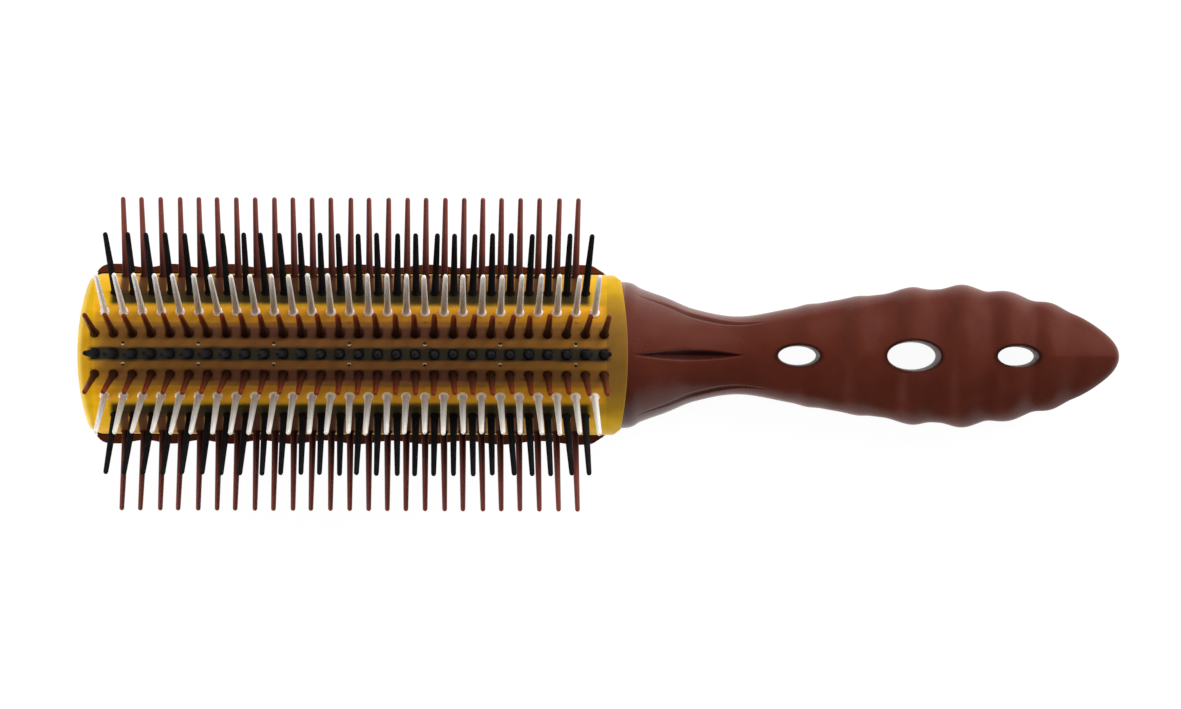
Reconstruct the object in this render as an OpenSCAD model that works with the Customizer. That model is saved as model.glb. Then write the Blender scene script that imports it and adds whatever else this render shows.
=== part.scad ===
// Half-round styling brush with nine rows of pins, a vented back and a ringed handle.
// It lies on its back: the pins stand up along +Z, the handle points along +X, and the
// underside of the head rests at z = 0. The origin is below the middle of its length.
// The pins fan out round one axis, the fan axis, which runs along X above the origin.

/* [Pad cover] */
// Height of the fan axis above the surface that the brush lies on
fan_z = 10; // [9.5:0.1:12]
// Outer radius of the half-round cover
cover_r = 18; // [17:0.1:20]
// Wall of the cover
cover_wall = 1.6; // [1.2:0.1:2]
// Wall of the cover's closed end
end_wall = 1.5; // [1:0.1:2.5]
// Radius of the cover's bowed ends, seen from above
end_bow_r = 70; // [50:1:120]
// Cut across each corner of the cover, seen from above
corner_cut = 1.3; // [0.5:0.1:2.5]
// How far the cover's straight edges reach below the fan axis
skirt_h = 3; // [2.8:0.1:3.6]
// Width of the bead inside each straight edge
bead_w = 0.8; // [0.6:0.05:1]
// Height of that bead
bead_h = 1.1; // [0.8:0.1:1.2]

/* [Pins] */
// Number of pins in the centre row
pin_count = 28; // [20:2:34]
// Distance between neighbouring pins of a row
pin_pitch = 4.1; // [3.6:0.1:4.8]
// Distance from the cover's closed end to the first pin of the centre row
tip_margin = 4; // [3.8:0.1:7]
// Distance from the last pin of the centre row to the cover's open end
neck_margin = 5.6; // [5.4:0.1:9]
// Distance from the fan axis to the pin tips
pin_reach = 35.4; // [31:0.1:38]
// Diameter of a pin just below its rounded tip
pin_tip_d = 1; // [0.8:0.1:1.3]
// Diameter of a pin above its collar
pin_root_d = 1.7; // [1.4:0.1:2]
// Diameter of the collar that fills the hole in the cover
collar_d = 2.4; // [2.1:0.1:2.6]
// Height of the cone from the cover up to the bare pin
collar_h = 1.2; // [0.8:0.1:2]
// Fan angle of the first row on each side of the centre row
row_1_angle = 14.5; // [14:0.1:15.5]
// Fan angle of the second row on each side
row_2_angle = 29; // [28.5:0.1:31]
// Fan angle of the third row on each side
row_3_angle = 47; // [45:0.5:55]
// Fan angle of the outermost row on each side
row_4_angle = 76; // [68:0.5:78]
// Lean of the end pins along the brush, in all rows but the outermost
inner_splay = 3.6; // [0:0.1:5]
// Lean of the end pins in the outermost rows
outer_splay = 1.3; // [0:0.1:3]

/* [Pin rails] */
// Width of the rail that carries a row of pins
rail_w = 2.8; // [2.5:0.1:2.9]
// Thickness of the rail
rail_h = 1.5; // [1.2:0.1:1.8]
// How far a rail reaches past its end pins
rail_over = 1.8; // [1.5:0.1:2]

/* [Pin carrier] */
// Wall of the carrier below its channels
carrier_wall = 1.9; // [1.2:0.1:2.5]
// Length of the carrier's tenon joint with the handle
spigot_len = 10; // [6:0.5:12]

/* [Fits] */
// Clearance between the cover and what it slides along
run_gap = 0.3; // [0.2:0.05:0.4]
// Clearance between a rail and the inside of the cover
rail_gap = 0.15; // [0.1:0.05:0.2]
// Clearance round a pin collar in its hole
hole_gap = 0.1; // [0.05:0.01:0.15]
// Clearance round the tenon
weld_gap = 0.1; // [0.05:0.01:0.2]

/* [Air holes] */
// Diameter of the small air holes in the cover
air_d = 0.7; // [0.5:0.1:0.9]
// Diameter of the matching holes in the carrier
duct_d = 1; // [0.8:0.1:1.2]
// Number of pin pitches from one air hole to the next
air_step = 4; // [3:1:6]

/* [Back shell] */
// Height from the shell's rim up to the fan axis
rim_drop = 0.6; // [0.4:0.1:0.8]
// Wall outside the cover's groove, between the ridges
lip_w = 0.7; // [0.6:0.1:1.5]
// Height of the ridges that run round the shell
ridge_h = 0.8; // [0.3:0.1:1.5]
// Distance from the closed end to the first ridge
ridge_first = 8; // [7:0.5:10]
// Distance between the first two ridges
ridge_pitch = 11.4; // [9:0.1:14]
// Growth of that distance, in each ridge number squared
ridge_growth = 0.44; // [0.1:0.02:0.8]
// Floor of the shell
floor_t = 2; // [1.5:0.1:2.5]
// Length of a back vent
vent_len = 9; // [6:0.5:9.5]
// Width of a back vent
vent_w = 5; // [4:0.5:8]

/* [Handle] */
// Length of the handle from the cover's open end to its tail
handle_len = 107.9; // [98:0.1:125]
// Distance from the cover's open end to the narrowest place of the neck
neck_at = 24; // [20:0.5:28]
// Width of the neck there
neck_w = 16.8; // [14:0.1:20]
// Height of the neck's middle plane
neck_z = 8; // [7.5:0.1:8.5]
// Thickness of the neck above its middle plane
neck_top = 6.9; // [5.5:0.1:8]
// Thickness of the neck below its middle plane
neck_under = 6.1; // [5.5:0.1:7]
// Distance from the cover's open end to the widest place of the grip
grip_at = 70; // [66:0.5:74]
// Width of the grip there, between its rings
grip_w = 29.5; // [26:0.1:33]
// Thickness of the grip above its middle plane
grip_top = 7.4; // [6.5:0.1:9]
// Height of the grip's middle plane
grip_z = 7.7; // [7:0.1:8]
// Distance of each grip ring from the cover's open end
ring_at = [41, 51.2, 61.3, 73.4, 84.2, 93]; // [30:0.1:98]
// How far each ring stands proud at the sides
ring_h = [0.12, 0.2, 1, 1.05, 0.8, 0.6]; // [0:0.01:1.5]
// How far the rings stand proud on the top and the back
ring_top = 0.45; // [0:0.05:0.8]
// Width of one ring along the handle
ring_w = 9.6; // [6:0.1:11]

/* [Eye holes] */
// Distance of each hole from the cover's open end
eye_at = [37.1, 62.5, 85.4]; // [30:0.1:95]
// Length of the middle hole at the front
eye_len = 12; // [10:0.1:14]
// Width of the middle hole at the front
eye_w = 7; // [5.5:0.1:9]
// Length of the two small holes at the front
small_eye_len = 9.3; // [7:0.1:11]
// Width of the two small holes at the front
small_eye_w = 4.9; // [4:0.1:6]
// Size of a hole at the back of the handle, as a share of the front
eye_taper = 0.87; // [0.8:0.01:1]
// How deep the front rim of a hole is bevelled
eye_rim = 0.7; // [0.2:0.1:1.2]

/* [Creases] */
// Half the width of the crease in the middle of the neck
crease_r = 1.1; // [0.5:0.1:1.6]
// How far it reaches past the narrowest place of the neck
crease_over = 1; // [0:0.5:6]
// Half the width of the creases along the sides of the neck
side_crease_r = 0.45; // [0.2:0.05:0.8]
// How far they reach past the narrowest place of the neck
side_crease_over = 10; // [4:0.5:14]
// Place of a side crease at the cover, as a share of the handle's half-width
side_crease_from = 0.87; // [0.8:0.01:0.9]
// Place of its other end, as a share of the handle's half-width
side_crease_to = 0.77; // [0.7:0.01:0.85]
// Distance from the cover's open end to the start of the creases
crease_start = 1; // [0.5:0.1:3]

/* [Hidden] */

brown = "#6b3a32";
red_brown = "#7a3f33";
amber = "#e0a81c";
black = "#1c1d20";
ivory = "#d9d3c8";

pad_len = tip_margin + (pin_count - 1) * pin_pitch + neck_margin;
total_len = pad_len + handle_len;
tip_x = -total_len / 2;
neck_x = tip_x + pad_len;
first_pin_x = tip_x + tip_margin;
pin_mid_x = first_pin_x + (pin_count - 1) * pin_pitch / 2;
half_span = (pin_count - 1) * pin_pitch / 2;

row_angle = [0, row_1_angle, row_2_angle, row_3_angle, row_4_angle];
row_setback = [0, 0, 0.5, 1, 1.5];
air_angle = [
  row_1_angle / 2,
  (row_1_angle + row_2_angle) / 2,
  (row_2_angle + row_3_angle) / 2
];
air_first = 1.5;

cover_in_r = cover_r - cover_wall;
core_r = cover_in_r - run_gap;
rail_top_r = cover_in_r - rail_gap;
channel_r = rail_top_r - rail_h - run_gap + rail_gap;
channel_w = rail_w + 2 * run_gap - 2 * rail_gap;
hollow_r = channel_r - carrier_wall;
hole_d = collar_d + 2 * hole_gap;
rail_end_gap = 0.2;
joint_x = neck_x - neck_margin + rail_over + rail_end_gap;

skirt_z = fan_z - skirt_h;
groove_z = skirt_z - run_gap;
seat_z = skirt_z + bead_h + run_gap;
rail_wall_y = cover_in_r - bead_w - run_gap;
groove_y = cover_r + run_gap;
rim_z = fan_z - rim_drop;
end_wall_z = seat_z + run_gap;
skirt_setback = 6;
skirt_start_x = tip_x + skirt_setback;
shell_hw = groove_y + lip_w;
bow_len = 6.1;
bow_power = 6;
taper_len = 4.2;
belly_power = 3.2;
belly_cut = 0.6;
belly_depth = fan_z + belly_cut;
belly_ridge = 0.5;
grip_power = 2.1;
tail_drop = 0.3;
ridge_x = tip_x + ridge_first;
vent_count = floor(ridge_number(joint_x - spigot_len - vent_len / 2) + 0.5);

eye_sides = 28;
eye_power = 1.8;
side_vent = 0.7;
section_step = 2.3;
section_sides = 32;
shell_step = 2.2;
shell_sides = 24;
tail_len = 10;
tail_sections = 7;
crease_steps = 10;
crease_end = 0.12;
over = 1;
long = 2 * total_len;

// Smooth curve through a list of [place, value] knots.
function knot_slope(k, i) =
  let (a = max(i - 1, 0), b = min(i + 1, len(k) - 1))
  (k[b][1] - k[a][1]) / (k[b][0] - k[a][0]);
function knot_below(k, x) = max([for (i = [0 : len(k) - 2]) if (i == 0 || k[i][0] <= x) i]);
function through(k, x) =
  let (
    i = knot_below(k, x),
    h = k[i + 1][0] - k[i][0],
    t = (x - k[i][0]) / h,
    t2 = t * t,
    t3 = t2 * t
  )
  (2 * t3 - 3 * t2 + 1) * k[i][1] + (t3 - 2 * t2 + t) * h * knot_slope(k, i)
  + (3 * t2 - 2 * t3) * k[i + 1][1] + (t3 - t2) * h * knot_slope(k, i + 1);
function between(a, b, share) = a + (b - a) * share;
function ease(t) = let (s = min(max(t, 0), 1)) s * s * (3 - 2 * s);
function power(v, p) = sign(v) * pow(abs(v), p);

// The handle's outline as knots: from the collar to the neck, on to the grip, and to the tail.
// Each pair says how far along its stretch a knot lies, and how much of the change is done there.
side_to_neck = [[0.1, 0.23], [0.33, 0.48], [0.58, 0.8]];
top_to_neck = [[0.1, 0.12], [0.33, 0.44], [0.58, 0.76]];
to_grip = [[0.26, 0.31], [0.52, 0.65], [0.78, 0.88]];
to_tail = [[0.26, 0.05], [0.5, 0.185], [0.74, 0.385], [0.9, 0.627]];
collar_start = joint_x - neck_x;
collar_end = -1.4;

function stretch(a, b, shares, from, to) =
  [for (s = shares) [between(a, b, s[0]), between(from, to, s[1])]];
function handle_knots(collar, neck, grip, to_neck) = concat(
  [[collar_start, collar], [collar_end, collar]],
  stretch(0, neck_at, to_neck, collar, neck),
  [[neck_at, neck]],
  stretch(neck_at, grip_at, to_grip, neck, grip),
  [[grip_at, grip]],
  stretch(grip_at, handle_len, to_tail, grip, 0),
  [[handle_len, 0]]
);
// Squares of the sizes make the tail a round nose.
function squared(k) = [for (p = k) [p[0], p[1] * p[1]]];
side_knots = squared(handle_knots(core_r, neck_w / 2, grip_w / 2, side_to_neck));
top_knots = squared(handle_knots(core_r, neck_top, grip_top, top_to_neck));
under_knots = squared(handle_knots(belly_depth, neck_under, grip_z, side_to_neck));
mid_knots = [
  [collar_start, fan_z], [collar_end, fan_z], [neck_at * 0.5, between(fan_z, neck_z, 0.7)],
  [neck_at, neck_z], [grip_at, grip_z], [handle_len, grip_z - tail_drop]
];

function root_of(k, u) = sqrt(max(0, through(k, u)));
function ring(u, i) =
  let (d = abs(u - ring_at[i]) * 2 / ring_w)
  d < 1 ? 0.5 + 0.5 * cos(180 * d) : 0;
function side_rings(u) = [for (i = [0 : len(ring_at) - 1]) ring_h[i] * ring(u, i)];
function top_rings(u) = [for (i = [0 : len(ring_at) - 1]) ring_top * ring(u, i)];
function total(v) = v * [for (i = v) 1];
function half_w(u) = root_of(side_knots, u) + total(side_rings(u));
function top_h(u) = root_of(top_knots, u) + total(top_rings(u));
function under_h(u) = root_of(under_knots, u) + total(top_rings(u));
function mid_z(u) = through(mid_knots, u);
function under_power(u) = between(belly_power, grip_power, ease((u - collar_end) / neck_at));

function handle_point(u, a) = [
  neck_x + u,
  half_w(u) * power(cos(a), sin(a) < 0 ? 2 / under_power(u) : 1),
  max(0, mid_z(u) + (sin(a) < 0
    ? under_h(u) * power(sin(a), 2 / under_power(u))
    : top_h(u) * sin(a)))
];
handle_stations = concat(
  [for (i = [0 : ceil((handle_len - tail_len - collar_start) / section_step)])
    between(collar_start, handle_len - tail_len,
      i / ceil((handle_len - tail_len - collar_start) / section_step))],
  [for (i = [tail_sections - 1 : -1 : 1]) handle_len - tail_len * pow(i / tail_sections, 2)]
);

// A solid through rings of points, closed by a flat face at the first ring
// and by a point, or another flat face, at the last one.
module skin(rings, nose) {
  n = len(rings[0]);
  m = len(rings);
  walls = [for (i = [0 : m - 2], j = [0 : n - 1])
    for (f = [
      [i * n + j, i * n + (j + 1) % n, (i + 1) * n + (j + 1) % n],
      [i * n + j, (i + 1) * n + (j + 1) % n, (i + 1) * n + j]
    ]) f];
  start = [[for (j = [n - 1 : -1 : 0]) j]];
  tip = nose == undef
    ? [[for (j = [0 : n - 1]) (m - 1) * n + j]]
    : [for (j = [0 : n - 1]) [(m - 1) * n + j, (m - 1) * n + (j + 1) % n, m * n]];
  points = [for (r = rings) each r];
  polyhedron(
    points = nose == undef ? points : concat(points, [nose]),
    faces = [for (f = concat(walls, start, tip)) [for (j = [len(f) - 1 : -1 : 0]) f[j]]],
    convexity = 6
  );
}

// Stands a drawing in the YZ plane and draws it out along +X.
module along_x(x_from, x_to) {
  translate([x_from, 0, 0]) rotate([90, 0, 90]) linear_extrude(x_to - x_from) children();
}

// The cover seen from above, smaller by inset all round.
module plan(inset) {
  half_y = cover_r - inset;
  x_a = tip_x + inset;
  x_b = neck_x - inset;
  intersection() {
    translate([x_a + end_bow_r, 0]) circle(end_bow_r, $fn = 180);
    translate([x_b - end_bow_r, 0]) circle(end_bow_r, $fn = 180);
    polygon([for (s = [-1, 1], p = [
        [x_a, half_y - 2 * corner_cut], [x_a + end_sag + corner_cut, half_y],
        [x_b - end_sag - corner_cut, half_y], [x_b, half_y - 2 * corner_cut]
      ]) [s < 0 ? p[0] : x_a + x_b - p[0], s * p[1]]]);
  }
}
end_sag = end_bow_r - sqrt(pow(end_bow_r, 2) - pow(cover_r, 2));

// A half-round above the fan axis with straight legs below it, in the YZ plane.
module arch(r, leg_z) {
  intersection() {
    translate([0, fan_z]) circle(r, $fn = 120);
    translate([-r, fan_z]) square([2 * r, r]);
  }
  translate([-r, leg_z]) square([2 * r, fan_z - leg_z]);
}

// Puts its children on the fan axis at x, with their Z turned to the fan angle.
module on_fan(x, angle) {
  translate([x, 0, fan_z]) rotate([-angle, 0, 0]) children();
}

function row_count(level) = pin_count - 2 * row_setback[level];
function pin_x(level, i) = first_pin_x + (row_setback[level] + i) * pin_pitch;
function pin_lean(level, i) =
  (level == 4 ? outer_splay : inner_splay) * (pin_x(level, i) - pin_mid_x) / half_span;
function air_x(i) = first_pin_x + (air_first + air_step * i) * pin_pitch;
air_count = floor((pin_count - 1 - 2 * air_first) / air_step) + 1;

// Each pin of a row in turn: its foot is on the rail, and it leans along the brush.
module at_pins(level, side) {
  for (i = [0 : row_count(level) - 1])
    on_fan(pin_x(level, i), side * row_angle[level])
      translate([0, 0, rail_top_r]) rotate([0, pin_lean(level, i), 0]) children();
}

module at_air_holes() {
  for (i = [0 : air_count - 1], a = air_angle, s = [-1, 1]) on_fan(air_x(i), s * a) children();
}

// One pin with its collar, from just inside the rail to the tip.
module pin() {
  foot = -rail_h / 2;
  top_of_cover = cover_r - rail_top_r;
  tip_z = pin_reach - rail_top_r;
  tip_r = pin_tip_d / 2;
  rotate_extrude($fn = 24) polygon([
    [0, foot], [collar_d / 2, foot], [collar_d / 2, top_of_cover],
    [pin_root_d / 2, top_of_cover + collar_h], [tip_r, tip_z - tip_r],
    [tip_r * cos(45), tip_z - tip_r + tip_r * sin(45)], [tip_r / 3, tip_z], [0, tip_z]
  ]);
}

module rail(level, side) {
  x_a = pin_x(level, 0) - rail_over;
  x_b = pin_x(level, row_count(level) - 1) + rail_over;
  on_fan(x_a, side * row_angle[level])
    translate([0, -rail_w / 2, rail_top_r - rail_h]) cube([x_b - x_a, rail_w, rail_h]);
}

// A row of pins with its rail, moulded in one piece.
module pin_row(level, side) {
  union() {
    rail(level, side);
    at_pins(level, side) pin();
  }
}

// The translucent cover: a half-round trough with one closed end, which slides
// over the carrier. Its edges carry a bead that hooks under the carrier's feet.
module pad_cover() {
  color(amber) difference() {
    intersection() {
      along_x(tip_x, neck_x) arch(cover_r, skirt_z);
      linear_extrude(cover_r + fan_z + over) plan(0);
    }
    intersection() {
      along_x(tip_x, neck_x + over) arch(cover_in_r, skirt_z + bead_h);
      translate([0, 0, -over]) linear_extrude(cover_r + fan_z + 2 * over) {
        plan(end_wall);
        translate([pin_mid_x, -cover_r]) square([long, 2 * cover_r]);
      }
    }
    along_x(tip_x - over, neck_x + over) translate([bead_w - cover_in_r, 0])
      square([2 * (cover_in_r - bead_w), end_wall_z]);
    along_x(joint_x - run_gap, neck_x + over) translate([-cover_in_r, 0])
      square([2 * cover_in_r, seat_z]);
    along_x(tip_x - over, skirt_start_x) translate([-cover_r - over, 0])
      square([2 * (cover_r + over), end_wall_z]);
    for (level = [0 : 4], side = level == 0 ? [1] : [-1, 1])
      at_pins(level, side) translate([0, 0, -over])
        cylinder(h = cover_wall + 3 * over, d = hole_d, $fn = 24);
    at_air_holes() translate([0, 0, cover_in_r - over])
      cylinder(h = cover_wall + 2 * over, d = air_d, $fn = 16);
  }
}

// The half-round core that backs the rows. Each rail lies in a channel of its own.
module pin_carrier() {
  color(brown) difference() {
    intersection() {
      along_x(tip_x, joint_x) difference() {
        arch(core_r, seat_z);
        arch(hollow_r, 0);
        for (level = [0 : 4], side = level == 0 ? [1] : [-1, 1])
          translate([0, fan_z]) rotate(-side * row_angle[level])
            translate([-channel_w / 2, channel_r]) square([channel_w, rail_h + cover_wall]);
      }
      linear_extrude(cover_r + fan_z) plan(end_wall + run_gap);
    }
    at_air_holes() translate([0, 0, hollow_r - over])
      cylinder(h = core_r - hollow_r + 2 * over, d = duct_d, $fn = 16);
  }
}

// The ridges stand further apart towards the neck.
function ridge_number(x) =
  (sqrt(pow(ridge_pitch, 2) + 4 * ridge_growth * max(x - ridge_x, 0)) - ridge_pitch)
  / (2 * ridge_growth);
function ridge_place(i) = ridge_x + ridge_pitch * i + ridge_growth * i * i;
function ridge_wave(x) = 0.5 + 0.5 * cos(360 * ridge_number(x));
function shell_w(x) = between(
  core_r, shell_hw + ridge_h * ridge_wave(x), ease((joint_x - x) / taper_len));

// Below the rim the section is a flattened half-oval, cut off flat at z = 0.
function shell_ring(x, w, depth) = [for (j = [shell_sides : -1 : 0])
  let (a = 180 * j / shell_sides)
  [x, w * power(cos(a), 2 / belly_power),
    min(rim_z, max(0, fan_z - depth * power(sin(a), 2 / belly_power)))]];
function shell_depth(x) =
  belly_depth + belly_ridge * (ridge_wave(x) - 1) * ease((joint_x - x) / taper_len);
shell_steps = ceil((joint_x - ridge_x) / shell_step);
shell_rings = concat(
  [for (a = [82, 68, 54, 40, 26, 13])
    shell_ring(ridge_x - bow_len * pow(sin(a), 2 / bow_power),
      shell_w(ridge_x) * pow(cos(a), 2 / bow_power),
      shell_depth(ridge_x) - (fan_z - groove_z) * (1 - pow(cos(a), 2 / bow_power)))],
  [for (i = [0 : shell_steps])
    let (x = between(ridge_x, joint_x, i / shell_steps))
    shell_ring(x, shell_w(x), shell_depth(x))]
);

// An eye: an oval whose two ends are drawn out a little.
module eye(length, width) {
  polygon([for (i = [0 : eye_sides - 1])
    let (a = 360 * i / eye_sides)
    [length / 2 * power(cos(a), 2 / eye_power), width / 2 * power(sin(a), 2 / eye_power)]]);
}

// The vented back of the head, with a groove along each side for the cover's edges.
module back_shell() {
  color(brown) difference() {
    skin(shell_rings);
    along_x(tip_x - over, joint_x + over) {
      for (s = [-1, 1]) translate([s * (groove_y + rail_wall_y) / 2, groove_z + fan_z / 2])
        square([groove_y - rail_wall_y, fan_z], center = true);
      translate([-rail_wall_y - over, seat_z]) square([2 * (rail_wall_y + over), fan_z]);
    }
    along_x(ridge_x - bow_len / 2, joint_x + over)
      translate([-hollow_r, floor_t]) square([2 * hollow_r, fan_z]);
    for (i = [0 : vent_count - 1])
      translate([ridge_place(i + 0.5), 0, -over]) linear_extrude(floor_t + 2 * over)
        eye(vent_len, vent_w);
    for (i = [1 : vent_count - 1], s = [-1, 1])
      translate([ridge_place(i), s * hollow_r / 2, -over]) linear_extrude(fan_z / 2)
        eye(vent_len * side_vent, vent_w * side_vent);
  }
}

// A through hole that narrows towards the back, with a bevelled front rim.
module eye_hole(u, length, width) {
  front = mid_z(u) + top_h(u);
  flare = 2 * (eye_rim + over);
  translate([neck_x + u, 0, 0]) {
    hull() {
      translate([0, 0, front + over]) linear_extrude(over) eye(length, width);
      translate([0, 0, -over]) linear_extrude(over)
        eye(length * eye_taper, width * eye_taper);
    }
    hull() {
      translate([0, 0, front + over]) linear_extrude(over) eye(length + flare, width + flare);
      translate([0, 0, front - eye_rim]) linear_extrude(eye_rim / 10) eye(length, width);
    }
  }
}

// A crease pressed into the top of the neck, along a share of its half-width.
module crease(u_to, share_from, share_to, r) {
  for (i = [0 : crease_steps - 1]) hull() for (k = [i, i + 1]) {
    t = k / crease_steps;
    u = between(crease_start, u_to, t);
    share = between(share_from, share_to, ease(t));
    translate([neck_x + u, share * half_w(u), mid_z(u) + top_h(u) * sqrt(1 - share * share)])
      sphere(r * between(crease_end, 1, sin(180 * t)), $fn = 12);
  }
}

// The tenon fills the end of the hollow between the carrier and the back shell.
module tenon() {
  along_x(joint_x - spigot_len, joint_x + over) intersection() {
    arch(hollow_r - weld_gap, floor_t + weld_gap);
    translate([-hollow_r, 0]) square([2 * hollow_r, fan_z + hollow_r]);
  }
}

// Collar, neck and ringed grip, moulded in one piece, with three eye-shaped holes.
module handle() {
  color(brown) difference() {
    union() {
      skin(
        [for (u = handle_stations)
          [for (j = [0 : section_sides - 1]) handle_point(u, 360 * j / section_sides)]],
        [neck_x + handle_len, 0, mid_z(handle_len)]
      );
      tenon();
    }
    eye_hole(eye_at[0], small_eye_len, small_eye_w);
    eye_hole(eye_at[1], eye_len, eye_w);
    eye_hole(eye_at[2], small_eye_len, small_eye_w);
    crease(neck_at + crease_over, 0, 0, crease_r);
    for (s = [-1, 1])
      crease(neck_at + side_crease_over, s * side_crease_from, s * side_crease_to, side_crease_r);
  }
}

module pin_row_centre() { color(black) pin_row(0, 1); }
module pin_row_left_1() { color(red_brown) pin_row(1, 1); }
module pin_row_left_2() { color(ivory) pin_row(2, 1); }
module pin_row_left_3() { color(black) pin_row(3, 1); }
module pin_row_left_4() { color(red_brown) pin_row(4, 1); }
module pin_row_right_1() { color(red_brown) pin_row(1, -1); }
module pin_row_right_2() { color(ivory) pin_row(2, -1); }
module pin_row_right_3() { color(black) pin_row(3, -1); }
module pin_row_right_4() { color(red_brown) pin_row(4, -1); }

handle();
back_shell();
pin_carrier();
pad_cover();
pin_row_centre();
pin_row_left_1();
pin_row_left_2();
pin_row_left_3();
pin_row_left_4();
pin_row_right_1();
pin_row_right_2();
pin_row_right_3();
pin_row_right_4();
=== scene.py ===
# %% [markdown]
# # A half-round styling brush
# The brush has a ringed handle with three eye-shaped holes, a vented and scalloped back, and a
# translucent amber cover with nine rows of long pins. The CAD model already holds every piece at
# its true size. This lesson loads it as a fixed frame and gives it finer shapes and finishes.
# One unit is a metre. The pins stand along +Z and the handle points along +X.

# %% Load the solids
from math import cos, pi, radians, sin, sqrt
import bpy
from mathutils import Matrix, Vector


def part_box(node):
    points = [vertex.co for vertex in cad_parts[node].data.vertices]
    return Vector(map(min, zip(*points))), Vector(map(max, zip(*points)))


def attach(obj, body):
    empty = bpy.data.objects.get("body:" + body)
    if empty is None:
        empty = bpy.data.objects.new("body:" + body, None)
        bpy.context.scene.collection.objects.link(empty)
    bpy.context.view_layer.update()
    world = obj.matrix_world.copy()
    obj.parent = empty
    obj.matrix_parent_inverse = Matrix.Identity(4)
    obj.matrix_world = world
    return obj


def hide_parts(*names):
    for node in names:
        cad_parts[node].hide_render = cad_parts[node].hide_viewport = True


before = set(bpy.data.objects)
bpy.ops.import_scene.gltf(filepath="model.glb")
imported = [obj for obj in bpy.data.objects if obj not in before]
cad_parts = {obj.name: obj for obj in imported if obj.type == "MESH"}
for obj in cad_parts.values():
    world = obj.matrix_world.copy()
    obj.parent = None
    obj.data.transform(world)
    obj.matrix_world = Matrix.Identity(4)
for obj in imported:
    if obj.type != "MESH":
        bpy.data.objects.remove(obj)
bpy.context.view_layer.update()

from types import SimpleNamespace

import bpy
import numpy as np

MM = 0.001
print("pieces from the CAD model:", sorted(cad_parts))

# %% [markdown]
# ## Places that everything else hangs on
# The amber cover is a half-round trough, and its pins fan out round one line, the fan axis.
# The solids' own boxes give these places, so that the finer pieces always meet the solids.
# The rows of pins are listed once: the cover's paint, its holes and the pins all read this list.

# %% Measure the solids
cover_low, cover_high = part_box("pad_cover")
tip_x = cover_low.x
neck_x = cover_high.x
tail_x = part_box("handle")[1].x
cover_r = cover_high.y
skin_r = cover_r - 0.4 * MM
fan_z = cover_high.z - cover_r
core_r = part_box("pin_carrier")[1].y
joint_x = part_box("pin_carrier")[1].x
tip_bow, neck_bow = 70 * MM, 88 * MM  # radii of the cover's two ends, seen from above
pitch = 4.106 * MM
first_pin = tip_x + 3.8 * MM
# For each level: its rows' angle on the cover in degrees, their pins, and their setback in pitches.
LEVELS = [(0.0, 28, 0.0), (14.7, 28, 0.0), (31.5, 27, 0.5), (49.5, 26, 1.0), (74.5, 25, 1.46)]
# For each row: its name, its level and its side.
ROWS = [("centre", 0, 1)] + [(f"{side}_{level}", level, sign) for level in (1, 2, 3, 4)
                             for side, sign in (("left", 1), ("right", -1))]


def pin_x(number):
    """Where along the brush a pin stands, counted from the centre row's first one."""
    return first_pin + number * pitch


print(f"cover from {tip_x / MM:.1f} to {neck_x / MM:.1f} mm, radius {cover_r / MM:.1f} mm")

# %% [markdown]
# ## Camera
# The photograph looks straight down on the pins from about a metre and a half, with a long lens.
# The pins near its ends lean away from its middle, and that tells the distance.
# The brush lies about a sixth of a degree askew in it, so the camera is rolled by as much.

# %% Place the camera
scene = bpy.context.scene


def put(name, data):
    """Adds an object to the scene."""
    thing = bpy.data.objects.new(name, data)
    scene.collection.objects.link(thing)
    return thing


camera = put("camera", bpy.data.cameras.new("camera"))
camera.data.sensor_width, camera.data.lens = 36, 213.4
camera.location = (-2.4 * MM, 0.1 * MM, 1550 * MM)
camera.rotation_euler = (0, 0, radians(0.17))
scene.camera = camera
scene.view_settings.view_transform = "Standard"
print("camera at", tuple(round(c, 4) for c in camera.location))

# %% [markdown]
# ## Small helpers for node trees
# Shader trees and Geometry Nodes trees are both lists of nodes and links. A Value stands for one
# output of a node and adds up like a plain number, so that a tree reads like a formula.

# %% A value that nodes work out
def sum_of(operation, swapped=False):
    """The method for one kind of sum, with its two sides swapped if need be."""
    def method(self, other):
        return calc(operation, *((other, self) if swapped else (self, other)))
    return method


class Value:
    """One output of a node. Each sum with it adds a Math node to its tree."""

    def __init__(self, socket):
        self.socket, self.tree = socket, socket.id_data

    __add__ = __radd__ = sum_of("ADD")
    __mul__ = __rmul__ = sum_of("MULTIPLY")
    __sub__, __rsub__ = sum_of("SUBTRACT"), sum_of("SUBTRACT", swapped=True)
    __truediv__, __rtruediv__ = sum_of("DIVIDE"), sum_of("DIVIDE", swapped=True)
    __pow__ = sum_of("POWER")
    __lt__, __gt__ = sum_of("LESS_THAN"), sum_of("GREATER_THAN")

    def __neg__(self):
        return self * -1


def feed(socket, value):
    """Links a node's input to a value, or sets it to a plain number, colour or material."""
    if isinstance(value, Value):
        value.tree.links.new(value.socket, socket)
    else:
        socket.default_value = value


def new_node(tree, kind, inputs=None, **settings):
    """Adds one node, with its settings, and its inputs by name or by number. A shader node's kind
    is given without its first words, ShaderNode."""
    node = tree.nodes.new(kind if "Node" in kind else "ShaderNode" + kind)
    for name, value in settings.items():
        setattr(node, name, value)
    for name, value in (inputs or {}).items():
        feed(node.inputs[name], value)
    return node


def add(tree, kind, inputs=None, output=0, **settings):
    """Adds one node, and gives back one of its outputs."""
    return Value(new_node(tree, kind, inputs, **settings).outputs[output])


def add_all(tree, kind, inputs=None, **settings):
    """Adds one node, and gives back all its outputs by name."""
    node = new_node(tree, kind, inputs, **settings)
    return {socket.name: Value(socket) for socket in node.outputs}


def tree_of(*values):
    return next(value.tree for value in values if isinstance(value, Value))


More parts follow.
